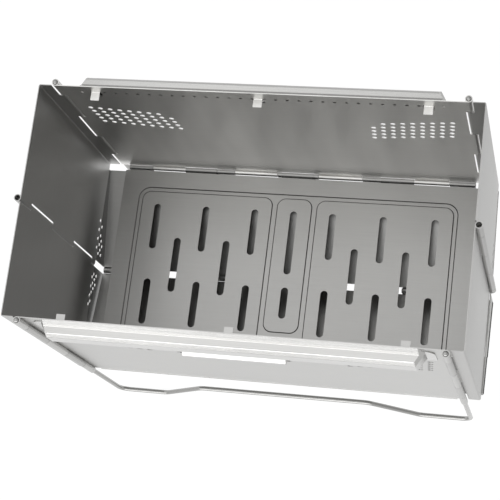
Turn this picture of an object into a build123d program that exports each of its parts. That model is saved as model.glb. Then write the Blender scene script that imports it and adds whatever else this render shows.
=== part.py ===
"""Flatpack charcoal grill of folded sheet steel on wire legs.

The X axis runs along the long walls, Y points to the back wall and Z up. Heights are
measured from the walls' lower edge while the pieces are made, and every piece is lifted
by LEG_DROP when it is written, so that the feet stand on z = 0.
"""

from build123d import *

import os
from math import atan2, cos, degrees, hypot, radians, sin

# Firebox, over the outer faces of its walls.
WIDTH = 350.0
DEPTH = 188.0
WALL_HEIGHT = 192.0
SHEET = 0.7
WALL_FOOT = 0.5  # running clearance of the folding walls above the floor
LEG_DROP = 90.0

# Hinges. Each leaf stays LEAF_GAP clear of the other leaf's eyes.
LEAF_GAP = 0.4
KNUCKLE_GAP = 0.4
CORNER_INSET = 13.2
CORNER_BORE = 4.4
CORNER_BREAKS = (WALL_HEIGHT, 171.0, 123.0, 75.0, 28.5, WALL_FOOT)
MID_BORE = 4.4
MID_PIN = 4.0
MID_PIN_RECESS = 10.0
MID_BREAKS = (WALL_HEIGHT, 168.0, 116.0, 62.0, 10.0, WALL_FOOT)
BARREL_BORE = 2.8
BARREL_PIN = 2.5
BARREL_BREAKS = (18.5, 57.3, 94.2, 133.2, 155.6)
BARREL_NOTCH = 2.5
FOLD_BORE = 4.4
FOLD_PIN = 4.0
FOLD_NOTCH = 2.75

# Wire legs.
LEG_WIRE = 4.0
LEG_TOP = WALL_HEIGHT + 0.6
LEG_BEND = 10.0
LEG_FOOT_INNER = 117.0
LEG_RISE_INNER = 75.0
LEG_RISE = 41.0

# Grate tabs, lanced out of the long walls.
TAB_SPACING = 131.5
TAB_WIDTH = 7.0
TAB_SHELF = 180.5
TAB_REACH = 6.7
TAB_WINDOW = 7.4
TAB_RELIEF = 0.8

# Vents of the long walls.
VENT_BORE = 4.2
VENT_CENTRE = (113.8, 125.2)
VENT_COLUMNS = 9
VENT_ROWS = 5
VENT_COLUMN_STEP = (7.86, 1.28)
VENT_ROW_STEP = (0.7, 7.7)
PIERCING_BORE = 2.7
PIERCING_PITCH = 9.2
PIERCING_COUNT = 32
PIERCING_HEIGHT = 180.3

# Rails: how far the outer skin stands out and how far it lies below the rim.
RAIL_LIP = (3.7, 6.5)
RAIL_LEDGE = (8.7, 6.5)
RAIL_FACE = (11.4, 11.2)
RAIL_FACE_DROP = 26.0
RAIL_FOOT_DROP = 30.0
RAIL_FLANGE = 4.0
RAIL_HALF_AT_RIM = 146.5
RAIL_HALF_AT_FACE = 140.0
RAIL_END_SLOPE = 1.8  # how far the ledge's ends lie inside the ends below it
RAIL_BEND = 0.8
EAR_HALF = 153.0
EAR_TOP = 186.0
EAR_FOOT = 157.0
EAR_RADIUS = 9.0

# Strap over a slot in the front wall.
STRAP_ENDS = (-53.0, 30.5)
STRAP_TOP = 110.2
STRAP_HEIGHT = 7.6
STRAP_REACH = 3.2
STRAP_SLOT = ((-58.0, 35.0), (103.0, 108.5))

# Floor.
FLOOR_HALF = 158.6
FLOOR_FRONT = -87.0
FLOOR_BACK = 88.6
FLOOR_CORNER = 1.0
PRESS_DEPTH = 0.7
PRESS_SLOPE = 0.8
SINK_HALF = 143.1
SINK_Y = (-67.4, 73.8)
SINK_RADIUS = 11.0
PANEL_X = (19.6, 139.5)
PANEL_Y = (-63.8, 70.2)
PANEL_RADIUS = 8.0
CAPSULE_HALF = 15.8
CAPSULE_Y = (-50.6, 70.2)
CAPSULE_RADIUS = 8.0
SLOT_WIDTH = 6.3
TONGUES = ((-14.4, 14.4), (73.7, 102.6), (-102.6, -73.7))
TONGUE_BORE = 4.7
TONGUE_FROM = 70.0
TONGUE_TO = 172.0
WINDOW_SIDE = 0.6
WINDOW_TOP = 3.2

# Heat shield: hinge axes as (y, z). Skirts are its upturned sides under the side walls.
SHIELD_BACK_AXIS = (91.9, -0.9)
SHIELD_FOLD_AXIS = (-0.2, -23.0)
SHIELD_FRONT_AXIS = (-91.9, -4.0)
SHIELD_NOTCH = (156.0, 88.3)
FOLD_SPANS_BACK = ((-173.0, -146.5), (-79.0, -38.0), (3.0, 44.0), (135.5, 173.0))
FOLD_SPANS_FRONT = ((-146.5, -121.0), (-38.0, 3.0), (98.5, 135.5))
FOLD_PIN_LEFT = (-173.0, -120.5)
FOLD_PIN_MIDDLE = (-79.5, 44.5)
FOLD_PIN_RIGHT = (98.0, 173.0)
SKIRT_TOP = -0.1
SKIRT_Y = (2.8, 88.0)
SKIRT_STEP = 1.0  # the front skirts pass this far outside the back ones
SKIRT_FREE = 55.0  # length next to the fold where the front skirts hang beside the sheet
SKIRT_DROP = 4.0  # how far their free length reaches below the sheet

# Vents at the foot of the side walls: first one of a row from the middle, and its height.
SIDE_VENT_BORE = 3.2
SIDE_VENT_PITCH = 8.2
SIDE_VENT_WALL_ROW = (13.8, 2.9, 4)
SIDE_VENT_SKIRT_ROWS = ((9.7, -3.3, 4), (13.8, -6.9, 2), (9.7, -10.5, 2))

HALF_WIDTH = WIDTH / 2
HALF_DEPTH = DEPTH / 2
CORNER_X = HALF_WIDTH - CORNER_INSET
CORNER_Y = HALF_DEPTH + CORNER_BORE / 2
CORNER_REACH = CORNER_BORE / 2 + SHEET + LEAF_GAP
MID_X = HALF_WIDTH + MID_BORE / 2
MID_REACH = MID_BORE / 2 + SHEET + LEAF_GAP
BARREL_IN = BARREL_BORE / 2
BARREL_OUT = BARREL_IN + SHEET


def block(xs, ys, zs):
    """Box between two corners given as pairs."""
    size = [abs(pair[1] - pair[0]) for pair in (xs, ys, zs)]
    middle = [(pair[0] + pair[1]) / 2 for pair in (xs, ys, zs)]
    return Pos(*middle) * Box(*size)


def rect(xs, ys):
    """Rectangle between two corners given as pairs."""
    middle = Pos((xs[0] + xs[1]) / 2, (ys[0] + ys[1]) / 2)
    return middle * Rectangle(abs(xs[1] - xs[0]), abs(ys[1] - ys[0]))


def rounded(xs, ys, radius, inset=0.0):
    """Rectangle with rounded corners, drawn in from its outline by inset."""
    wide = abs(xs[1] - xs[0]) - 2 * inset
    deep = abs(ys[1] - ys[0]) - 2 * inset
    middle = Pos((xs[0] + xs[1]) / 2, (ys[0] + ys[1]) / 2)
    return middle * RectangleRounded(wide, deep, radius - inset)


def prism(plane, sketch, start, end):
    """Sketch extruded between two distances along the plane's normal."""
    return extrude(plane.offset(start) * sketch, end - start)


def bent_sheet(points, bend):
    """Section of a sheet folded along points, its thickness laid to their left."""
    path = [Vector(*point) for point in points]
    runs = [(b - a).normalized() for a, b in zip(path, path[1:])]
    lefts = [Vector(-run.Y, run.X) for run in runs]
    pairs = zip([lefts[0], *lefts], [*lefts, lefts[-1]])
    shifts = [(a + b) * (SHEET / (1 + a.dot(b))) for a, b in pairs]
    inner = [point + shift for point, shift in zip(path, shifts)]
    face = make_face(Polyline(*path, *reversed(inner), close=True))
    for index in range(1, len(path) - 1):
        before, after = runs[index - 1], runs[index]
        turns_left = before.X * after.Y - before.Y * after.X > 0
        near, far = (bend + SHEET, bend) if turns_left else (bend, bend + SHEET)
        for corner, radius in ((path[index], near), (inner[index], far)):
            vertex = face.vertices().sort_by_distance(corner)[0]
            face = fillet(vertex, radius)
    return face


def eye(centre, bore, leaf):
    """Section of a sheet edge rolled into an eye, with the strip that leads into it."""
    curl = Pos(*centre) * Circle(bore / 2 + SHEET)
    return curl + leaf - Pos(*centre) * Circle(bore / 2)


def knuckle_spans(breaks, first):
    """Every second span of a row of breaks, counted from the top, less the gaps."""
    spans = []
    for index in range(first, len(breaks) - 1, 2):
        top_gap = KNUCKLE_GAP / 2 if index > 0 else 0.0
        foot_gap = KNUCKLE_GAP / 2 if index + 2 < len(breaks) else 0.0
        spans.append((breaks[index + 1] + foot_gap, breaks[index] - top_gap))
    return spans


def barrel_spans(own_middle):
    """Spans along X of one leaf of a floor-level barrel, on both sides of the middle."""
    half_gap = KNUCKLE_GAP / 2
    first, *rest = zip(BARREL_BREAKS, BARREL_BREAKS[1:])
    right = [rest[0], rest[2]] if own_middle else [first, rest[1]]
    spans = [(low + half_gap, high - half_gap) for low, high in right]
    spans += [(-high, -low) for low, high in spans]
    if own_middle:
        middle = BARREL_BREAKS[0] - half_gap
        spans.append((-middle, middle))
    return spans


def vents():
    """Slanted vent groups and the row of piercings of a long wall, as one sketch."""
    holes = []
    for column in range(VENT_COLUMNS):
        for row in range(VENT_ROWS):
            if column == 0 and row == VENT_ROWS - 1:
                continue
            across = column - (VENT_COLUMNS - 1) / 2
            up = row - (VENT_ROWS - 1) / 2
            x = VENT_CENTRE[0] + across * VENT_COLUMN_STEP[0] + up * VENT_ROW_STEP[0]
            z = VENT_CENTRE[1] + across * VENT_COLUMN_STEP[1] + up * VENT_ROW_STEP[1]
            holes += [Pos(side * x, z) * Circle(VENT_BORE / 2) for side in (-1, 1)]
    for index in range(PIERCING_COUNT):
        x = (index - (PIERCING_COUNT - 1) / 2) * PIERCING_PITCH
        holes.append(Pos(x, PIERCING_HEIGHT) * Circle(PIERCING_BORE / 2))
    return Sketch() + holes


def side_vents(rows):
    """Rows of vents beside the middle of a side wall, as a sketch in Y and Z."""
    holes = []
    for first, height, count in rows:
        for index in range(count):
            holes.append(Pos(first + index * SIDE_VENT_PITCH, height) * Circle(SIDE_VENT_BORE / 2))
    return Sketch() + holes


def long_wall():
    """Long wall at the back: plate, corner eyes, vents and grate tabs."""
    inner = HALF_DEPTH - SHEET
    plate_half = CORNER_X - CORNER_REACH
    wall = block((-plate_half, plate_half), (inner, HALF_DEPTH), (WALL_FOOT, WALL_HEIGHT))
    for side in (-1, 1):
        leaf = rect((side * plate_half, side * CORNER_X), (inner, HALF_DEPTH))
        section = eye((side * CORNER_X, CORNER_Y), CORNER_BORE, leaf)
        for low, high in knuckle_spans(CORNER_BREAKS, 0):
            wall += prism(Plane.XY, section, low, high)
    wall -= prism(Plane.XZ, vents(), -HALF_DEPTH - 1, -inner + 1)
    shelf_foot = TAB_SHELF - SHEET
    path = ((inner - TAB_REACH, shelf_foot), (HALF_DEPTH, shelf_foot), (HALF_DEPTH, TAB_SHELF + 2.0))
    shelf = bent_sheet(path, 0.4)
    for x in (-TAB_SPACING, 0.0, TAB_SPACING):
        half = TAB_WIDTH / 2
        window = (x - half - TAB_RELIEF, x + half + TAB_RELIEF)
        wall -= block(window, (inner - 1, HALF_DEPTH + 1), (TAB_SHELF - TAB_WINDOW, TAB_SHELF + 1.0))
        wall += prism(Plane.YZ, shelf, x - half, x + half)
    return wall


def back_wall():
    """Back wall with the eyes of the floor hinge and the windows for the floor's tongues."""
    axis_y, axis_z = SHIELD_BACK_AXIS
    sheet_y = (HALF_DEPTH - SHEET, HALF_DEPTH)
    clear = axis_z + BARREL_OUT + LEAF_GAP
    wall = long_wall()
    for low, high in barrel_spans(True):
        span = (low - KNUCKLE_GAP, high + KNUCKLE_GAP)
        wall -= block(span, (sheet_y[0] - 1, sheet_y[1] + 1), (-2.0, clear))
    for span in barrel_spans(False):
        wall += block(span, sheet_y, (axis_z, clear))
    for low, high in TONGUES:
        span = (low - WINDOW_SIDE, high + WINDOW_SIDE)
        wall -= block(span, (sheet_y[0] - 1, sheet_y[1] + 1), (-4.0, axis_z + WINDOW_TOP))
    ring = Pos(axis_y, axis_z) * (Circle(BARREL_OUT) - Circle(BARREL_IN))
    for span in barrel_spans(False):
        wall += prism(Plane.YZ, ring, *span)
    return wall


def side_panel(mid_first):
    """Right back quarter of the side walls: return flange, corner eyes and middle eyes."""
    inner_y = HALF_DEPTH - SHEET
    inner_x = HALF_WIDTH - SHEET
    flange_end = CORNER_X + CORNER_REACH
    path = ((HALF_WIDTH, MID_REACH), (HALF_WIDTH, HALF_DEPTH), (flange_end, HALF_DEPTH))
    panel = prism(Plane.XY, bent_sheet(path, 0.8), WALL_FOOT, WALL_HEIGHT)
    panel -= prism(Plane.YZ, side_vents([SIDE_VENT_WALL_ROW]), inner_x - 1, HALF_WIDTH + 1)
    corner_leaf = rect((CORNER_X, flange_end), (inner_y, HALF_DEPTH))
    corner = eye((CORNER_X, CORNER_Y), CORNER_BORE, corner_leaf)
    for low, high in knuckle_spans(CORNER_BREAKS, 1):
        panel += prism(Plane.XY, corner, low, high)
    mid_leaf = rect((inner_x, HALF_WIDTH), (0.0, MID_REACH))
    middle = eye((MID_X, 0.0), MID_BORE, mid_leaf)
    for low, high in knuckle_spans(MID_BREAKS, mid_first):
        panel += prism(Plane.XY, middle, low, high)
    return panel


def side_pin(side):
    """Pin of a side wall's middle hinge, sunk below the rim."""
    length = WALL_HEIGHT - MID_PIN_RECESS - WALL_FOOT - 0.5
    pin = Pos(0, 0, WALL_FOOT + 0.5 + length / 2) * Cylinder(MID_PIN / 2, length)
    pin = chamfer(pin.edges().filter_by(GeomType.CIRCLE), 0.4)
    return Pos(side * MID_X, 0, 0) * pin


def rail_ends(inset):
    """Space between the slanting ends of the back rail, drawn in by inset at each end."""
    slant = (RAIL_HALF_AT_RIM - RAIL_HALF_AT_FACE) / RAIL_FACE[0]
    reach = 2 * RAIL_FACE[0]
    inner, outer = RAIL_HALF_AT_RIM + slant * reach - inset, RAIL_HALF_AT_RIM - slant * reach - inset
    near_y, far_y = HALF_DEPTH - reach, HALF_DEPTH + reach
    corners = ((-inner, near_y), (inner, near_y), (outer, far_y), (-outer, far_y))
    plan = make_face(Polyline(*corners, close=True))
    slope_foot = WALL_HEIGHT - RAIL_FACE[1]
    slope = degrees(atan2(RAIL_END_SLOPE, RAIL_FACE[1] - RAIL_LEDGE[1]))
    top = extrude(Plane.XY.offset(slope_foot) * plan, RAIL_FACE[1] + 1, taper=slope)
    return prism(Plane.XY, plan, WALL_HEIGHT / 2, slope_foot) + top


def rail():
    """Hollow rail on the outside of the back wall, closed at both ends, with its ears."""
    foot = WALL_HEIGHT - RAIL_FOOT_DROP
    steps = [(RAIL_FACE[0], RAIL_FACE_DROP), RAIL_FACE, RAIL_LEDGE, RAIL_LIP, (0.0, 0.0)]
    path = [(HALF_DEPTH + SHEET, foot - RAIL_FLANGE), (HALF_DEPTH + SHEET, foot)]
    path += [(HALF_DEPTH + out, WALL_HEIGHT - drop) for out, drop in steps]
    skin = bent_sheet(path, RAIL_BEND)
    filled = skin + make_face(Polyline((HALF_DEPTH, foot), *path[1:], close=True))
    filled -= rect((0.0, HALF_DEPTH), (0.0, 2 * WALL_HEIGHT))
    span = (-RAIL_HALF_AT_RIM, RAIL_HALF_AT_RIM)
    body = prism(Plane.YZ, filled, *span) & rail_ends(0.0)
    body -= prism(Plane.YZ, filled - skin, *span) & rail_ends(SHEET)
    for side in (-1, 1):
        ear = rounded((span[1] - 16, EAR_HALF), (EAR_FOOT - 20, EAR_TOP), EAR_RADIUS)
        ear -= rect((span[1] - 30, EAR_HALF + 1), (EAR_FOOT - 40, EAR_FOOT))
        plate = prism(Plane.XZ, ear, -HALF_DEPTH - SHEET, -HALF_DEPTH)
        body += plate if side > 0 else mirror(plate, about=Plane.YZ)
    return body


def front_wall():
    """Front wall with the slot behind its strap."""
    across_sheet = (-HALF_DEPTH - 1, -HALF_DEPTH + SHEET + 1)
    return mirror(long_wall(), about=Plane.XZ) - block(STRAP_SLOT[0], across_sheet, STRAP_SLOT[1])


def front_strap():
    """Shallow strap on the outside of the front wall, open at both ends."""
    face, foot = HALF_DEPTH, STRAP_TOP - STRAP_HEIGHT
    path = ((face, foot), (face + STRAP_REACH, foot + 1.6))
    path += ((face + STRAP_REACH, STRAP_TOP - STRAP_REACH), (face, STRAP_TOP))
    strap = prism(Plane.YZ, bent_sheet(path, 0.5), *STRAP_ENDS)
    strap &= block(STRAP_ENDS, (face, face + STRAP_REACH + 1), (foot - 1, STRAP_TOP + 1))
    return mirror(strap, about=Plane.XZ)


def leg(y):
    """Wire leg: two corner pins, two feet and a raised middle, bent from one wire."""
    foot = LEG_WIRE / 2 - LEG_DROP
    rise = foot + LEG_RISE
    half = [(CORNER_X, LEG_TOP), (CORNER_X, foot), (LEG_FOOT_INNER, foot), (LEG_RISE_INNER, rise)]
    left = [(-x, y, z) for x, z in half]
    right = [(x, y, z) for x, z in reversed(half)]
    path = FilletPolyline(*left, *right, radius=LEG_BEND)
    return sweep(Plane(path @ 0, z_dir=path % 0) * Circle(LEG_WIRE / 2), path=path)


def floor_slots():
    """Slots of the floor, three staggered rows on each side and two in the middle."""
    rows = [((34.7, 79.2, 124.0), (16.8, 58.2)), ((34.7, 79.2, 124.0), (-51.7, -10.8))]
    rows.append(((57.0, 101.6), (-21.3, 27.9)))
    places = [(side * x, span) for columns, span in rows for x in columns for side in (-1, 1)]
    places += [(0.0, (1.5, 58.5)), (0.0, (-37.9, -10.4))]
    slots = []
    for x, (low, high) in places:
        slots.append(Pos(x, (low + high) / 2) * Rot(0, 0, 90) * SlotOverall(high - low, SLOT_WIDTH))
    return Sketch() + slots


def pressing(xs, ys, radius, level, step):
    """Solid between a rounded outline and a smaller one a step above or below it."""
    outer = Pos(0, 0, level) * rounded(xs, ys, radius)
    inner = Pos(0, 0, level + step) * rounded(xs, ys, radius, PRESS_SLOPE)
    return loft([outer, inner])


def floor_tray():
    """Slotted floor with raised panels in a sunken field."""
    outline = rounded((-FLOOR_HALF, FLOOR_HALF), (FLOOR_FRONT, FLOOR_BACK), FLOOR_CORNER)
    floor = prism(Plane.XY, outline, -SHEET, 0.0)
    field = ((-SINK_HALF, SINK_HALF), SINK_Y, SINK_RADIUS)
    floor += pressing(*field, -SHEET, -PRESS_DEPTH)
    floor -= pressing(*field, 0.0, -PRESS_DEPTH)
    panels = [(PANEL_X, PANEL_Y, PANEL_RADIUS)]
    panels.append(((-PANEL_X[1], -PANEL_X[0]), PANEL_Y, PANEL_RADIUS))
    panels.append(((-CAPSULE_HALF, CAPSULE_HALF), CAPSULE_Y, CAPSULE_RADIUS))
    for panel in panels:
        floor += pressing(*panel, -PRESS_DEPTH, PRESS_DEPTH)
        floor -= pressing(*panel, -PRESS_DEPTH - SHEET, PRESS_DEPTH)
    return floor - prism(Plane.XY, floor_slots(), -3.0, 1.0)


def floor_tongues():
    """Tongues of the floor, rolled over the barrel at the foot of the back wall."""
    axis_y, axis_z = SHIELD_BACK_AXIS
    ring = Circle(TONGUE_BORE / 2 + SHEET) - Circle(TONGUE_BORE / 2)
    reach = 4 * TONGUE_BORE
    angles = (TONGUE_FROM, (TONGUE_FROM + TONGUE_TO) / 2, TONGUE_TO)
    rim = [(reach * cos(radians(a)), reach * sin(radians(a))) for a in angles]
    hook = Pos(axis_y, axis_z) * (ring & make_face(Polyline((0, 0), *rim, close=True)))
    hook += rect((FLOOR_BACK, FLOOR_BACK + 0.6), (-SHEET, 0.0))
    return Part() + [prism(Plane.YZ, hook, *span) for span in TONGUES]


def shield_plane(start, end):
    """Plane with X along a shield half, Y down through its sheet and Z along the barrels."""
    run = Vector(0, end[0] - start[0], end[1] - start[1]).normalized()
    return Plane(origin=(0, *start), x_dir=run, z_dir=(1, 0, 0))


def shield_eyes(plane, place, inward, bore, notch, spans):
    """Eyes of a shield half at one of its ends; inward is the sheet's direction there."""
    leaf = rect((place, place + inward * notch), (BARREL_IN, BARREL_OUT))
    section = eye((place, 0.0), bore, leaf)
    return [prism(plane, section, *span) for span in spans]


def skirt(plane, length, outer, slotted):
    """Upturned side of a shield half on the right: its part of the V under a side wall."""
    near, far = SKIRT_Y
    line = [plane.from_local_coords((s, BARREL_OUT, 0)) for s in (0.0, length - SKIRT_FREE)]
    slope = (line[1].Z - line[0].Z) / (line[1].Y - line[0].Y)
    free_y = line[1].Y
    far_z, free_z, near_z = [line[0].Z + slope * (y - line[0].Y) for y in (far, free_y, near)]
    outline = [(near, SKIRT_TOP), (far, SKIRT_TOP), (far, far_z), (free_y, free_z)]
    if slotted:
        outline += [(free_y, free_z - SKIRT_DROP), (near, near_z - SKIRT_DROP)]
    else:
        outline += [(near, near_z)]
    face = make_face(Polyline(*outline, close=True)) - side_vents(SIDE_VENT_SKIRT_ROWS)
    return prism(Plane.YZ, face, outer - SHEET, outer)


def shield_half(hinge, fold, fold_spans, outer, slotted):
    """Half of the heat shield on the back wall's side: sheet, eyes at both ends and skirts."""
    plane = shield_plane(hinge, fold)
    length = hypot(fold[0] - hinge[0], fold[1] - hinge[1])
    run = (BARREL_NOTCH, length - FOLD_NOTCH)
    half = plane * block(run, (BARREL_IN, BARREL_OUT), (-outer, outer))
    far = 2 * WIDTH
    for side in (-1, 1):
        half -= block((side * SHIELD_NOTCH[0], side * far), (SHIELD_NOTCH[1], far), (-far, far))
        if slotted:
            inner = outer - 2 * SHEET - 0.6
            edge = (side * inner, side * (outer + 1))
            half -= plane * block((length - SKIRT_FREE, length), (0.0, 2 * BARREL_OUT), edge)
    half += shield_eyes(plane, 0.0, 1, BARREL_BORE, BARREL_NOTCH, barrel_spans(True))
    half += shield_eyes(plane, length, -1, FOLD_BORE, FOLD_NOTCH, shrunk(fold_spans))
    side = skirt(plane, length, outer, slotted)
    return half + side + mirror(side, about=Plane.YZ)


def shrunk(spans):
    """Spans shortened by the running gap between neighbouring eyes."""
    return [(low + KNUCKLE_GAP / 2, high - KNUCKLE_GAP / 2) for low, high in spans]


def across(axis):
    """Hinge axis mirrored to the other side of the grill."""
    return (-axis[0], axis[1])


def shield_back():
    """Back half of the heat shield, hinged at the foot of the back wall."""
    return shield_half(SHIELD_BACK_AXIS, SHIELD_FOLD_AXIS, FOLD_SPANS_BACK, HALF_WIDTH, False)


def shield_front():
    """Front half of the heat shield, from the fold to the front pin."""
    axes = (across(SHIELD_FRONT_AXIS), across(SHIELD_FOLD_AXIS))
    half = shield_half(*axes, FOLD_SPANS_FRONT, HALF_WIDTH + SKIRT_STEP, True)
    return mirror(half, about=Plane.XZ)


def barrel_pin(axis, size, ends):
    """Pin of a barrel that runs along X."""
    return prism(Plane.YZ, Pos(*axis) * Circle(size / 2), *ends)


def front_shield_loops():
    """Loops that carry the front pin under the front wall."""
    ring = Pos(*SHIELD_FRONT_AXIS) * (Circle(BARREL_OUT) - Circle(BARREL_IN))
    return Part() + [prism(Plane.YZ, ring, *span) for span in barrel_spans(False)]


BARREL_ENDS = (-BARREL_BREAKS[-1], BARREL_BREAKS[-1])

pieces = {
    "back_wall": back_wall(),
    "back_rail": rail(),
    "back_leg": leg(CORNER_Y),
    "back_hinge_pin": barrel_pin(SHIELD_BACK_AXIS, BARREL_PIN, BARREL_ENDS),
    "left_back_panel": mirror(side_panel(0), about=Plane.YZ),
    "right_back_panel": side_panel(1),
    "left_front_panel": mirror(mirror(side_panel(1), about=Plane.YZ), about=Plane.XZ),
    "right_front_panel": mirror(side_panel(0), about=Plane.XZ),
    "left_side_pin": side_pin(-1),
    "right_side_pin": side_pin(1),
    "front_wall": front_wall(),
    "front_rail": mirror(rail(), about=Plane.XZ),
    "front_strap": front_strap(),
    "front_leg": leg(-CORNER_Y),
    "floor_tray": floor_tray(),
    "floor_tongues": floor_tongues(),
    "shield_back": shield_back(),
    "shield_fold_pin_left": barrel_pin(SHIELD_FOLD_AXIS, FOLD_PIN, FOLD_PIN_LEFT),
    "shield_fold_pin_middle": barrel_pin(SHIELD_FOLD_AXIS, FOLD_PIN, FOLD_PIN_MIDDLE),
    "shield_fold_pin_right": barrel_pin(SHIELD_FOLD_AXIS, FOLD_PIN, FOLD_PIN_RIGHT),
    "shield_front": shield_front(),
    "shield_front_pin": barrel_pin(SHIELD_FRONT_AXIS, BARREL_PIN, BARREL_ENDS),
    "front_shield_loops": front_shield_loops(),
}

os.makedirs("parts", exist_ok=True)
for name, piece in pieces.items():
    export_step(Pos(0, 0, LEG_DROP) * piece, f"parts/{name}.step")
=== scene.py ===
"""Dresses the flatpack grill: brushed steel finishes, smooth wire legs and a pale studio."""

import logging
import math
from collections.abc import Iterable, Mapping
from dataclasses import dataclass, field
from enum import Enum, IntEnum

import bmesh
import bpy
from mathutils import Matrix, Vector


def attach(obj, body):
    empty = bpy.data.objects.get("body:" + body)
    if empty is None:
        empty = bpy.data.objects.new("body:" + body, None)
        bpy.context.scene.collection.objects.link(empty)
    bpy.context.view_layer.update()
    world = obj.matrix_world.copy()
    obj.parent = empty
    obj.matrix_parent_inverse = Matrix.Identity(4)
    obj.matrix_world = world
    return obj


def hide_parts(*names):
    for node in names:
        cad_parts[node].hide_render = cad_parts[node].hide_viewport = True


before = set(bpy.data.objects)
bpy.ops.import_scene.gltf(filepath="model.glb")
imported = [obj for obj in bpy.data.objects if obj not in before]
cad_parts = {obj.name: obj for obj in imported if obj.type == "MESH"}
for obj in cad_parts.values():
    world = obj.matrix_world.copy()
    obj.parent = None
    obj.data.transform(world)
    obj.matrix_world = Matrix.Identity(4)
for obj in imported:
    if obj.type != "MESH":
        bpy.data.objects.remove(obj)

log = logging.getLogger("flatpack_grill")


class Grain(Enum):
    """Direction in which a piece of steel was brushed, as Object coordinate scales."""

    ALONG_X = (1.0, 60.0, 60.0)
    ALONG_Y = (60.0, 1.0, 60.0)
    ALONG_Z = (60.0, 60.0, 1.0)


class Ray(IntEnum):
    """Outputs of a Light Path node."""

    FROM_CAMERA = 0
    GLOSSY = 3
    TRANSMITTED = 6


class Coordinates(IntEnum):
    """Outputs of a Texture Coordinate node."""

    DIRECTION = 0
    NORMAL = 1
    OBJECT = 3


class Signal:
    """A shader socket that takes part in Python arithmetic."""

    def __init__(self, graph: "Graph", socket: bpy.types.NodeSocket) -> None:
        """Keeps the socket and the graph that its Math nodes go into."""
        self.graph = graph
        self.socket = socket

    def _math(self, operation: str, first: object, second: object) -> "Signal":
        """Adds one Math node.

        Args:
            operation: The Math node's operation.
            first: Value or signal of its first socket.
            second: Value or signal of its second socket.

        Returns:
            The node's result.
        """
        return self.graph.node("ShaderNodeMath", {"operation": operation}, {0: first, 1: second})[0]

    def __add__(self, other: object) -> "Signal":
        """Sum of two signals."""
        return self._math("ADD", self, other)

    def __radd__(self, other: object) -> "Signal":
        """Sum with a number on the left."""
        return self._math("ADD", other, self)

    def __sub__(self, other: object) -> "Signal":
        """Difference of two signals."""
        return self._math("SUBTRACT", self, other)

    def __rsub__(self, other: object) -> "Signal":
        """Difference from a number on the left."""
        return self._math("SUBTRACT", other, self)

    def __mul__(self, other: object) -> "Signal":
        """Product of two signals."""
        return self._math("MULTIPLY", self, other)

    def __rmul__(self, other: object) -> "Signal":
        """Product with a number on the left."""
        return self._math("MULTIPLY", other, self)

    def __truediv__(self, other: object) -> "Signal":
        """Quotient of two signals."""
        return self._math("DIVIDE", self, other)

    def at_most(self, limit: object) -> "Signal":
        """The smaller of the signal and a limit."""
        return self._math("MINIMUM", self, limit)

    def at_least(self, limit: object) -> "Signal":
        """The larger of the signal and a limit."""
        return self._math("MAXIMUM", self, limit)


class Graph:
    """Node tree of one material or of the world, filled through a single method."""

    def __init__(self, owner: bpy.types.Material | bpy.types.World) -> None:
        """Empties the owner's node tree and keeps it."""
        owner.use_nodes = True
        self.tree = owner.node_tree
        self.tree.nodes.clear()

    def node(
        self,
        kind: str,
        settings: Mapping[str, object] | None = None,
        inputs: Mapping[int | str, object] | None = None,
    ) -> list[Signal]:
        """Makes one node.

        Args:
            kind: The node's type.
            settings: Its properties, set first.
            inputs: A value or a signal for each named or numbered socket.

        Returns:
            Its outputs, in order.
        """
        made = self.tree.nodes.new(kind)
        for name, value in (settings or {}).items():
            setattr(made, name, value)
        for name, value in (inputs or {}).items():
            if isinstance(value, Signal):
                self.tree.links.new(value.socket, made.inputs[name])
            else:
                made.inputs[name].default_value = value
        return [Signal(self, socket) for socket in made.outputs]

    def noise(self, place: Signal, stretch: tuple[float, float, float], detail: float) -> Signal:
        """Noise on coordinates scaled differently along each axis.

        Args:
            place: Coordinates in metres.
            stretch: Scale along X, Y and Z, per metre.
            detail: Number of finer layers in the noise.

        Returns:
            A value around 0.5.
        """
        scaled = self.node("ShaderNodeMapping", None, {"Vector": place, "Scale": stretch})[0]
        settings = {"noise_dimensions": "3D"}
        values = {"Vector": scaled, "Scale": 1.0, "Detail": detail, "Roughness": 0.55}
        return self.node("ShaderNodeTexNoise", settings, values)[0]


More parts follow.
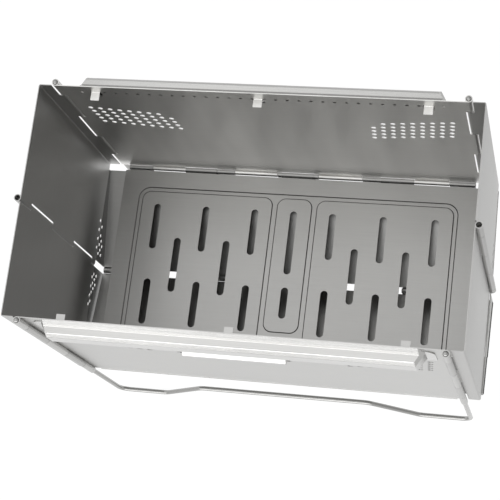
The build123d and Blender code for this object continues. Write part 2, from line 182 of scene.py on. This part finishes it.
@dataclass(frozen=True)
class BrushedSteel:
    """Finish of a brushed or drawn steel piece.

    The grain, cloud and streak contrasts say how much each pattern lightens and darkens the
    steel. The groove shade and the inner shade are painted shade on sloping faces and on faces
    turned to the middle.
    """

    name: str
    tint: tuple[float, float, float]
    grain: Grain
    roughness: float = 0.34
    grain_pitch: float = 22.0
    scratch_fineness: float = 2.7
    grain_contrast: float = 0.10
    cloud_scale: tuple[float, float, float] = (9.0, 9.0, 7.0)
    cloud_contrast: float = 0.14
    streak_scale: tuple[float, float, float] = (26.0, 26.0, 2.0)
    streak_contrast: float = 0.0
    anisotropy: float = 0.35
    painted_groove_shade: float = 0.0
    groove_slope: float = 0.8
    groove_blend: float = 0.15
    painted_inner_shade: float = 0.0
    inner_gain: float = 8.0
    scratch_dulling: float = 0.12
    cloud_dulling: float = 0.10
    scratch_height: float = 0.6
    bump_strength: float = 0.25
    bump_distance: float = 0.00012
    lightest: float = 1.3

    def build(self) -> bpy.types.Material:
        """Makes the material.

        Returns:
            A metal whose colour, roughness and bump follow its brushing.
        """
        material = bpy.data.materials.new(self.name)
        graph = Graph(material)
        place = graph.node("ShaderNodeTexCoord")[Coordinates.OBJECT]
        along = tuple(scale * self.grain_pitch for scale in self.grain.value)
        fine = tuple(scale * self.scratch_fineness for scale in along)
        brush = graph.noise(place, along, 3.0)
        scratch = graph.noise(place, fine, 2.0)
        cloud = graph.noise(place, self.cloud_scale, 2.0)
        streak = graph.noise(place, self.streak_scale, 2.0)
        shade = 1.0 + (brush - 0.5) * self.grain_contrast
        shade = shade + (cloud - 0.5) * self.cloud_contrast
        shade = shade + (streak - 0.5) * self.streak_contrast
        rough = self.roughness + (scratch - 0.5) * self.scratch_dulling
        rough = rough + (cloud - 0.5) * self.cloud_dulling
        relief = {
            "Strength": self.bump_strength,
            "Distance": self.bump_distance,
            "Height": brush + scratch * self.scratch_height,
        }
        metal = {
            "Base Color": self._colour(graph, self._shaded(graph, place, shade)),
            "Metallic": 1.0,
            "Roughness": rough,
            "Normal": graph.node("ShaderNodeBump", None, relief)[0],
            "Anisotropic": self.anisotropy,
        }
        surface = graph.node("ShaderNodeBsdfPrincipled", None, metal)[0]
        graph.node("ShaderNodeOutputMaterial", None, {"Surface": surface})
        return material

    def _shaded(self, graph: Graph, place: Signal, shade: Signal) -> Signal:
        """Paints shade on the grooves and on the inner faces.

        Args:
            graph: The material's node tree.
            place: Object coordinates.
            shade: Lightness of the steel before it is darkened.

        Returns:
            The darkened lightness.
        """
        facing = graph.node("ShaderNodeTexCoord")[Coordinates.NORMAL]
        # painted shade: sloping faces, such as the sides of the floor's pressings, are darkened as
        # if in shadow
        if self.painted_groove_shade > 0.0:
            up = graph.node("ShaderNodeSeparateXYZ", None, {0: facing})[2]
            level = ((up - self.groove_slope) / self.groove_blend).at_least(0.0).at_most(1.0)
            shade = shade * (1.0 - self.painted_groove_shade + level * self.painted_groove_shade)
        # painted shade: faces turned towards the middle are darkened as if in shadow
        if self.painted_inner_shade > 0.0:
            turned = graph.node("ShaderNodeSeparateXYZ", None, {0: facing})[0]
            across = graph.node("ShaderNodeSeparateXYZ", None, {0: place})[0]
            inwards = (turned * across * -self.inner_gain).at_least(0.0).at_most(1.0)
            shade = shade * (1.0 - inwards * self.painted_inner_shade)
        return shade

    def _colour(self, graph: Graph, shade: Signal) -> Signal:
        """Mixes the steel's colour.

        Args:
            graph: The material's node tree.
            shade: Lightness, where 1 is the plain tint.

        Returns:
            The tint times the lightness.
        """
        share = (shade / self.lightest).at_most(1.0).at_least(0.0)
        light = tuple(self.lightest * part for part in self.tint) + (1.0,)
        settings = {"data_type": "RGBA", "clamp_factor": True}
        return graph.node("ShaderNodeMix", settings, {0: share, 6: (0, 0, 0, 1), 7: light})[2]


@dataclass
class Camera:
    """Camera at the photograph's viewing angle."""

    place: tuple[float, float, float] = (0.265289, -0.308414, 1.331963)
    right: tuple[float, float, float] = (0.971716, 0.120921, -0.202845)
    up: tuple[float, float, float] = (-0.063149, 0.960730, 0.270203)
    back: tuple[float, float, float] = (0.227552, -0.249751, 0.941193)
    lens: float = 108.65
    sensor: float = 36.0

    def build(self) -> None:
        """Makes the camera and gives it to the scene."""
        data = bpy.data.cameras.new("photo_camera")
        data.lens = self.lens
        data.sensor_width = self.sensor
        data.clip_start = 0.01
        data.clip_end = 50.0
        camera = bpy.data.objects.new("photo_camera", data)
        turn = Matrix((self.right, self.up, self.back)).transposed().to_4x4()
        camera.matrix_world = Matrix.Translation(self.place) @ turn
        bpy.context.scene.collection.objects.link(camera)
        bpy.context.scene.camera = camera


@dataclass(frozen=True)
class Softbox:
    """A soft rectangular lamp aimed at a point."""

    name: str
    place: tuple[float, float, float]
    aim: tuple[float, float, float]
    size: tuple[float, float]
    power: float

    def build(self) -> None:
        """Makes the lamp."""
        data = bpy.data.lights.new(self.name, "AREA")
        data.shape = "RECTANGLE"
        data.size, data.size_y = self.size
        data.energy = self.power
        lamp = bpy.data.objects.new(self.name, data)
        facing = (Vector(self.aim) - Vector(self.place)).to_track_quat("-Z", "Y")
        lamp.matrix_world = Matrix.Translation(self.place) @ facing.to_matrix().to_4x4()
        lamp.visible_camera = False
        bpy.context.scene.collection.objects.link(lamp)


@dataclass
class Studio:
    """Pale floor, white surroundings and soft lamps.

    As steel mirrors them, the floor is dimmer from dim_from on to the right and behind, and
    the surroundings are dimmer to the right and to the back.
    """

    floor_reach: float = 6.0
    floor_glow: float = 1.08
    ambient: float = 0.5
    shadow_share: float = 0.1
    dim_from: float = 0.16
    dim_width: float = 0.12
    dimming: float = 0.6
    dimming_behind: float = 0.6
    overhead: float = 0.95
    towards_right: float = -0.33
    towards_back: float = -0.30
    dimmest: float = 0.12
    brightest: float = 1.1
    lamps: tuple[Softbox, ...] = (
        Softbox("top_softbox", (-0.25, 0.05, 1.9), (0.0, 0.0, 0.15), (1.4, 1.1), 2.0),
        Softbox("front_softbox", (-0.3, -1.05, 0.40), (-0.3, 0.0, 0.40), (2.4, 0.8), 11.0),
        Softbox("right_softbox", (1.9, 0.2, 1.1), (0.0, 0.0, 0.15), (0.8, 1.0), 0.6),
    )

    def build(self) -> None:
        """Makes the floor, the surroundings and the lamps."""
        self._floor()
        self._surroundings()
        for lamp in self.lamps:
            lamp.build()
        bpy.context.scene.view_settings.view_transform = "Standard"

    def _floor(self) -> None:
        """Makes the floor, white to the camera but with the object's shadow on it."""
        mesh = bpy.data.meshes.new("studio_floor")
        shape = bmesh.new()
        bmesh.ops.create_grid(shape, x_segments=1, y_segments=1, size=self.floor_reach)
        shape.to_mesh(mesh)
        shape.free()
        floor = bpy.data.objects.new("studio_floor", mesh)
        bpy.context.scene.collection.objects.link(floor)
        material = bpy.data.materials.new("studio_floor")
        graph = Graph(material)
        paths = graph.node("ShaderNodeLightPath")
        place = graph.node("ShaderNodeTexCoord")[Coordinates.OBJECT]
        right, back = graph.node("ShaderNodeSeparateXYZ", None, {0: place})[:2]
        on_right = ((right - self.dim_from) / self.dim_width).at_least(0.0).at_most(1.0)
        behind = ((back - self.dim_from) / self.dim_width).at_least(0.0).at_most(1.0)
        dimmed = (on_right * self.dimming).at_least(behind * self.dimming_behind)
        seen = (paths[Ray.FROM_CAMERA] + paths[Ray.GLOSSY] * (1.0 - dimmed)).at_most(1.0)
        matt = graph.node("ShaderNodeBsdfDiffuse", None, {"Color": (0.9, 0.9, 0.89, 1.0)})[0]
        glow = {"Color": (1, 1, 1, 1), "Strength": self.floor_glow}
        white = graph.node("ShaderNodeEmission", None, glow)[0]
        share = seen * (1.0 - self.shadow_share)
        both = graph.node("ShaderNodeMixShader", None, {0: share, 1: matt, 2: white})[0]
        graph.node("ShaderNodeOutputMaterial", None, {"Surface": both})
        mesh.materials.append(material)

    def _surroundings(self) -> None:
        """Makes the world white to the camera, and as a light dimmer to the right and back."""
        world = bpy.data.worlds.new("studio")
        bpy.context.scene.world = world
        graph = Graph(world)
        paths = graph.node("ShaderNodeLightPath")
        heading = graph.node("ShaderNodeTexCoord")[Coordinates.DIRECTION]
        right, back = graph.node("ShaderNodeSeparateXYZ", None, {0: heading})[:2]
        shade = self.overhead + right * self.towards_right + back * self.towards_back
        shade = shade.at_least(self.dimmest).at_most(self.brightest)
        mirrored = (paths[Ray.GLOSSY] + paths[Ray.TRANSMITTED]).at_most(1.0)
        lit = shade * (self.ambient + mirrored * (1.0 - self.ambient))
        strength = lit.at_least(paths[Ray.FROM_CAMERA])
        values = {"Color": (1, 1, 1, 1), "Strength": strength}
        light = graph.node("ShaderNodeBackground", None, values)[0]
        graph.node("ShaderNodeOutputWorld", None, {"Surface": light})


class Bar:
    """A round bar that is drawn out of a ring, run by run and bend by bend."""

    dome_height = 0.7
    dome_rings = 4
    bend_rings = 8

    def __init__(self, radius: float, start: Vector, heading: Vector, sides: int = 20) -> None:
        """Starts the bar with a domed end.

        Args:
            radius: The bar's radius.
            start: Centre of the first ring.
            heading: Direction of the first run.
            sides: Number of faces around the bar.
        """
        self.radius = radius
        self.shape = bmesh.new()
        self.tip = start.copy()
        self.heading = heading.normalized()
        ring = bmesh.ops.create_circle(self.shape, radius=radius, segments=sides)["verts"]
        turn = Vector((0.0, 0.0, 1.0)).rotation_difference(self.heading).to_matrix().to_4x4()
        bmesh.ops.transform(self.shape, matrix=Matrix.Translation(start) @ turn, verts=ring)
        first_rim = list(self.shape.edges)
        self.rim = first_rim
        self._dome(-1.0)
        self.rim = first_rim
        self.tip = start.copy()

    def _draw(self, offset: Vector) -> list[bmesh.types.BMVert]:
        """Extrudes the rim and moves it.

        Args:
            offset: The way that the new rim goes.

        Returns:
            The new rim's corners.
        """
        made = bmesh.ops.extrude_edge_only(self.shape, edges=self.rim)["geom"]
        corners = [part for part in made if isinstance(part, bmesh.types.BMVert)]
        self.rim = [part for part in made if isinstance(part, bmesh.types.BMEdge)]
        bmesh.ops.translate(self.shape, vec=offset, verts=corners)
        self.tip = self.tip + offset
        return corners

    def _dome(self, way: float) -> None:
        """Closes the rim with a low dome.

        Args:
            way: 1 along the bar's heading, -1 against it.
        """
        width, height = 1.0, 0.0
        for step in range(1, self.dome_rings + 1):
            angle = 0.5 * math.pi * step / (self.dome_rings + 1)
            rise = self.dome_height * self.radius * math.sin(angle)
            corners = self._draw(self.heading * way * (rise - height))
            scale = Matrix.Scale(math.cos(angle) / width, 4)
            there = Matrix.Translation(self.tip)
            drawn_in = there @ scale @ there.inverted()
            bmesh.ops.transform(self.shape, matrix=drawn_in, verts=corners)
            width, height = math.cos(angle), rise
        bmesh.ops.contextual_create(self.shape, geom=self.rim)

    def run(self, length: float) -> None:
        """Draws the bar straight on."""
        self._draw(self.heading * length)

    def bend(self, towards: Vector, radius: float, angle: float) -> None:
        """Draws the bar round a bend.

        Args:
            towards: Direction of the bend's centre, square to the heading.
            radius: Radius of the bar's middle line.
            angle: Angle of the bend, in radians.
        """
        centre = self.tip + towards.normalized() * radius
        axis = self.heading.cross(towards).normalized()
        rim_corners = {corner for edge in self.rim for corner in edge.verts}
        spun = bmesh.ops.spin(
            self.shape,
            geom=[*rim_corners, *self.rim],
            cent=centre,
            axis=axis,
            angle=angle,
            steps=self.bend_rings,
            use_merge=False,
        )
        self.rim = [part for part in spun["geom_last"] if isinstance(part, bmesh.types.BMEdge)]
        turn = Matrix.Rotation(angle, 4, axis)
        self.tip = centre + turn @ (self.tip - centre)
        self.heading = (turn @ self.heading).normalized()

    def finish(self) -> bmesh.types.BMesh:
        """Closes the bar's far end.

        Returns:
            The closed shape with its faces outwards.
        """
        self._dome(1.0)
        bmesh.ops.recalc_face_normals(self.shape, faces=list(self.shape.faces))
        for face in self.shape.faces:
            face.smooth = True
        return self.shape


def flatten(shape: bmesh.types.BMesh, anchor: Vector, share: Vector) -> None:
    """Flattens a shape towards a point.

    Args:
        shape: The shape that is changed.
        anchor: The point that stays where it is.
        share: What is left of the shape's size along X, Y and Z.
    """
    there = Matrix.Translation(anchor)
    flat = Matrix.Diagonal((*share, 1.0))
    pressed = there @ flat @ there.inverted()
    bmesh.ops.transform(shape, matrix=pressed, verts=list(shape.verts))


def add_piece(
    name: str, shape: bmesh.types.BMesh, material: bpy.types.Material, body: str
) -> bpy.types.Object:
    """Makes an object of a shape and lets it ride on a body.

    Args:
        name: The piece's name.
        shape: Its shape, which is freed.
        material: Its finish.
        body: The CAD body that it moves with.

    Returns:
        The new object.
    """
    mesh = bpy.data.meshes.new(name)
    shape.to_mesh(mesh)
    shape.free()
    mesh.materials.append(material)
    piece = bpy.data.objects.new(name, mesh)
    bpy.context.scene.collection.objects.link(piece)
    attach(piece, body)
    log.info("%s has %d faces and rides on %s", name, len(mesh.polygons), body)
    return piece


@dataclass
class WireLegs:
    """The two bent wire legs, whose upright ends are the corner hinges' pins."""

    wire: float = 0.0040
    half_length: float = 0.1618
    offset: float = 0.0962
    top: float = 0.2826
    foot: float = 0.002
    foot_inner: float = 0.117
    rise_inner: float = 0.075
    rise: float = 0.041
    bend: float = 0.010

    def corners(self) -> list[Vector]:
        """Corners of the wire's middle line.

        Returns:
            Points in the plane y = 0, from one upright end to the other.
        """
        half = [
            Vector((-self.half_length, 0.0, self.top)),
            Vector((-self.half_length, 0.0, self.foot)),
            Vector((-self.foot_inner, 0.0, self.foot)),
            Vector((-self.rise_inner, 0.0, self.foot + self.rise)),
        ]
        return half + [Vector((-point.x, 0.0, point.z)) for point in reversed(half)]

    def leg(self, side: float) -> bmesh.types.BMesh:
        """Draws one leg.

        Args:
            side: 1 for the back leg, -1 for the front leg.

        Returns:
            The leg's shape.
        """
        across = Vector((0.0, side * self.offset, 0.0))
        points = [point + across for point in self.corners()]
        runs = [after - before for before, after in zip(points, points[1:])]
        bar = Bar(self.wire / 2, points[0], runs[0])
        spent = 0.0
        for before, after in zip(runs, runs[1:]):
            angle = before.angle(after)
            setback = self.bend * math.tan(angle / 2)
            bar.run(before.length - spent - setback)
            inward = after.normalized() - before.normalized() * math.cos(angle)
            bar.bend(inward, self.bend, angle)
            spent = setback
        bar.run(runs[-1].length - spent)
        return bar.finish()

    def build(self, material: bpy.types.Material) -> None:
        """Makes both legs."""
        for body, side in (("back", 1.0), ("front", -1.0)):
            piece = add_piece(f"{body}_leg_wire", self.leg(side), material, body)
            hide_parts(f"{body}_leg")


@dataclass
class FootShadowHems:
    """Flat hems along the foot of the heat shield's upturned sides, dark as painted shade in the
    gap there.
    """

    half_height: float = 0.0016
    back_face: float = 0.1750
    back_thickness: float = 0.00025
    back_ends: tuple[tuple[float, float], ...] = ((0.0868, 0.0875), (0.0050, 0.0680))
    front_face: float = 0.1760
    front_thickness: float = 0.0007
    front_ends: tuple[tuple[float, float], ...] = ((-0.0868, 0.0846), (-0.0560, 0.0781))
    free_ends: tuple[tuple[float, float], ...] = ((-0.0535, 0.0736), (-0.0050, 0.0636))

    def hem(
        self, side: float, face: float, thickness: float, ends: tuple[tuple[float, float], ...]
    ) -> bmesh.types.BMesh:
        """Draws one hem and flattens it against the sheet.

        Args:
            side: 1 on the right, -1 on the left.
            face: Distance of the side's outer face from the middle.
            thickness: How far the hem stands out from that face.
            ends: Y and Z of the hem's two ends.

        Returns:
            The hem's shape.
        """
        start, stop = (Vector((side * face, *end)) for end in ends)
        bar = Bar(self.half_height, start, stop - start, sides=16)
        bar.run((stop - start).length)
        shape = bar.finish()
        share = Vector((thickness / self.half_height, 1.0, 1.0))
        flatten(shape, Vector((side * face, 0.0, 0.0)), share)
        return shape

    def build(self, material: bpy.types.Material) -> None:
        """Makes the hems of both sides."""
        for side, where in ((-1.0, "left"), (1.0, "right")):
            rear = self.hem(side, self.back_face, self.back_thickness, self.back_ends)
            add_piece(f"{where}_back_shadow_hem", rear, material, "shield_rear_half")
            fore = self.hem(side, self.front_face, self.front_thickness, self.front_ends)
            add_piece(f"{where}_front_shadow_hem", fore, material, "shield_front_half")
            free = self.hem(side, self.front_face, self.front_thickness, self.free_ends)
            add_piece(f"{where}_free_shadow_hem", free, material, "shield_front_half")


@dataclass
class StrapMouthShadows:
    """Painted shade at the ends of the strap on the front wall: dark patches where its mouths are
    shaded.
    """

    left_end: float = -0.0546
    right_end: float = 0.0321
    wall_face: float = -0.0940
    foot: float = 0.1944
    height: float = 0.0034
    half_width: float = 0.0014
    depth: float = 0.0004

    def mouth(self, place: float) -> bmesh.types.BMesh:
        """Draws one mouth as a flattened upright bar.

        Args:
            place: Its place along the wall.

        Returns:
            The mouth's shape.
        """
        start = Vector((place, self.wall_face, self.foot))
        bar = Bar(self.half_width, start, Vector((0.0, 0.0, 1.0)))
        bar.run(self.height)
        shape = bar.finish()
        share = Vector((1.0, self.depth / self.half_width, 1.0))
        flatten(shape, Vector((0.0, self.wall_face, 0.0)), share)
        return shape

    def build(self, material: bpy.types.Material) -> None:
        """Makes both mouths."""
        for where, place in (("left", self.left_end), ("right", self.right_end)):
            add_piece(f"strap_mouth_shadow_{where}", self.mouth(place), material, "front")


@dataclass
class FinishesWithPaintedLight:
    """The steel finishes of the grill and the CAD pieces that wear them. The one sheet steel's tint
    differs from piece to piece as painted light and shade, lighter on the back wall and darker on
    the front wall, rail, side panels, shield and floor.
    """

    long_sheet: BrushedSteel = BrushedSteel(
        "back_wall_steel", (0.74, 0.735, 0.718), Grain.ALONG_X, streak_contrast=0.5
    )
    front_sheet: BrushedSteel = BrushedSteel(
        "front_wall_steel", (0.50, 0.498, 0.488), Grain.ALONG_X, cloud_contrast=0.18
    )
    side_sheet: BrushedSteel = BrushedSteel("side_wall_steel", (0.44, 0.438, 0.43), Grain.ALONG_Y)
    # the floor's sloping faces get painted shade
    floor_sheet: BrushedSteel = BrushedSteel(
        "floor_steel", (0.385, 0.382, 0.373), Grain.ALONG_X, roughness=0.37, painted_groove_shade=0.55
    )
    # the shield's faces turned to the middle get painted shade
    shield_sheet: BrushedSteel = BrushedSteel(
        "shield_steel",
        (0.45, 0.448, 0.438),
        Grain.ALONG_X,
        roughness=0.42,
        cloud_contrast=0.3,
        painted_inner_shade=0.6,
    )
    rail_sheet: BrushedSteel = BrushedSteel(
        "rail_steel", (0.53, 0.527, 0.517), Grain.ALONG_X, roughness=0.20
    )
    wire: BrushedSteel = BrushedSteel(
        "leg_wire_steel", (0.36, 0.358, 0.35), Grain.ALONG_X, roughness=0.17, anisotropy=0.0
    )
    pin: BrushedSteel = BrushedSteel(
        "pin_steel", (0.42, 0.418, 0.41), Grain.ALONG_Z, roughness=0.4, anisotropy=0.0
    )
    # painted shadow: a near-black steel for dark pieces put where there is only shade
    painted_shadow_line: BrushedSteel = BrushedSteel(
        "painted_shadow_steel", (0.07, 0.069, 0.066), Grain.ALONG_Y, roughness=0.5, anisotropy=0.0
    )
    made: dict[str, bpy.types.Material] = field(default_factory=dict)

    def worn_by(self) -> dict[str, tuple[str, ...]]:
        """CAD nodes under the field name of the finish that each wears."""
        return {
            "long_sheet": ("back_wall",),
            "front_sheet": ("front_wall",),
            "side_sheet": (
                "left_back_panel",
                "left_front_panel",
                "right_back_panel",
                "right_front_panel",
            ),
            "floor_sheet": ("floor_tray", "floor_tongues"),
            "shield_sheet": ("shield_back", "shield_front", "front_shield_loops"),
            "rail_sheet": ("back_rail", "front_rail", "front_strap"),
            "wire": ("back_leg", "front_leg"),
            "painted_shadow_line": (),
            "pin": (
                "left_side_pin",
                "right_side_pin",
                "back_hinge_pin",
                "shield_fold_pin_left",
                "shield_fold_pin_middle",
                "shield_fold_pin_right",
                "shield_front_pin",
            ),
        }

    def dress(self) -> None:
        """Gives every CAD node its finish."""
        for finish, nodes in self.worn_by().items():
            material = getattr(self, finish).build()
            self.made[finish] = material
            for node in nodes:
                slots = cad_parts[node].material_slots
                for slot in slots:
                    slot.material = material
                log.info("%s wears %s", node, material.name)


def main() -> None:
    """Builds the studio and dresses the grill."""
    logging.basicConfig(level=logging.INFO, format="%(name)s: %(message)s")
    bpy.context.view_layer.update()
    Camera().build()
    Studio().build()
    finishes = FinishesWithPaintedLight()
    finishes.dress()
    WireLegs().build(finishes.made["wire"])
    FootShadowHems().build(finishes.made["painted_shadow_line"])
    StrapMouthShadows().build(finishes.made["painted_shadow_line"])


if __name__ == "__main__":
    main()
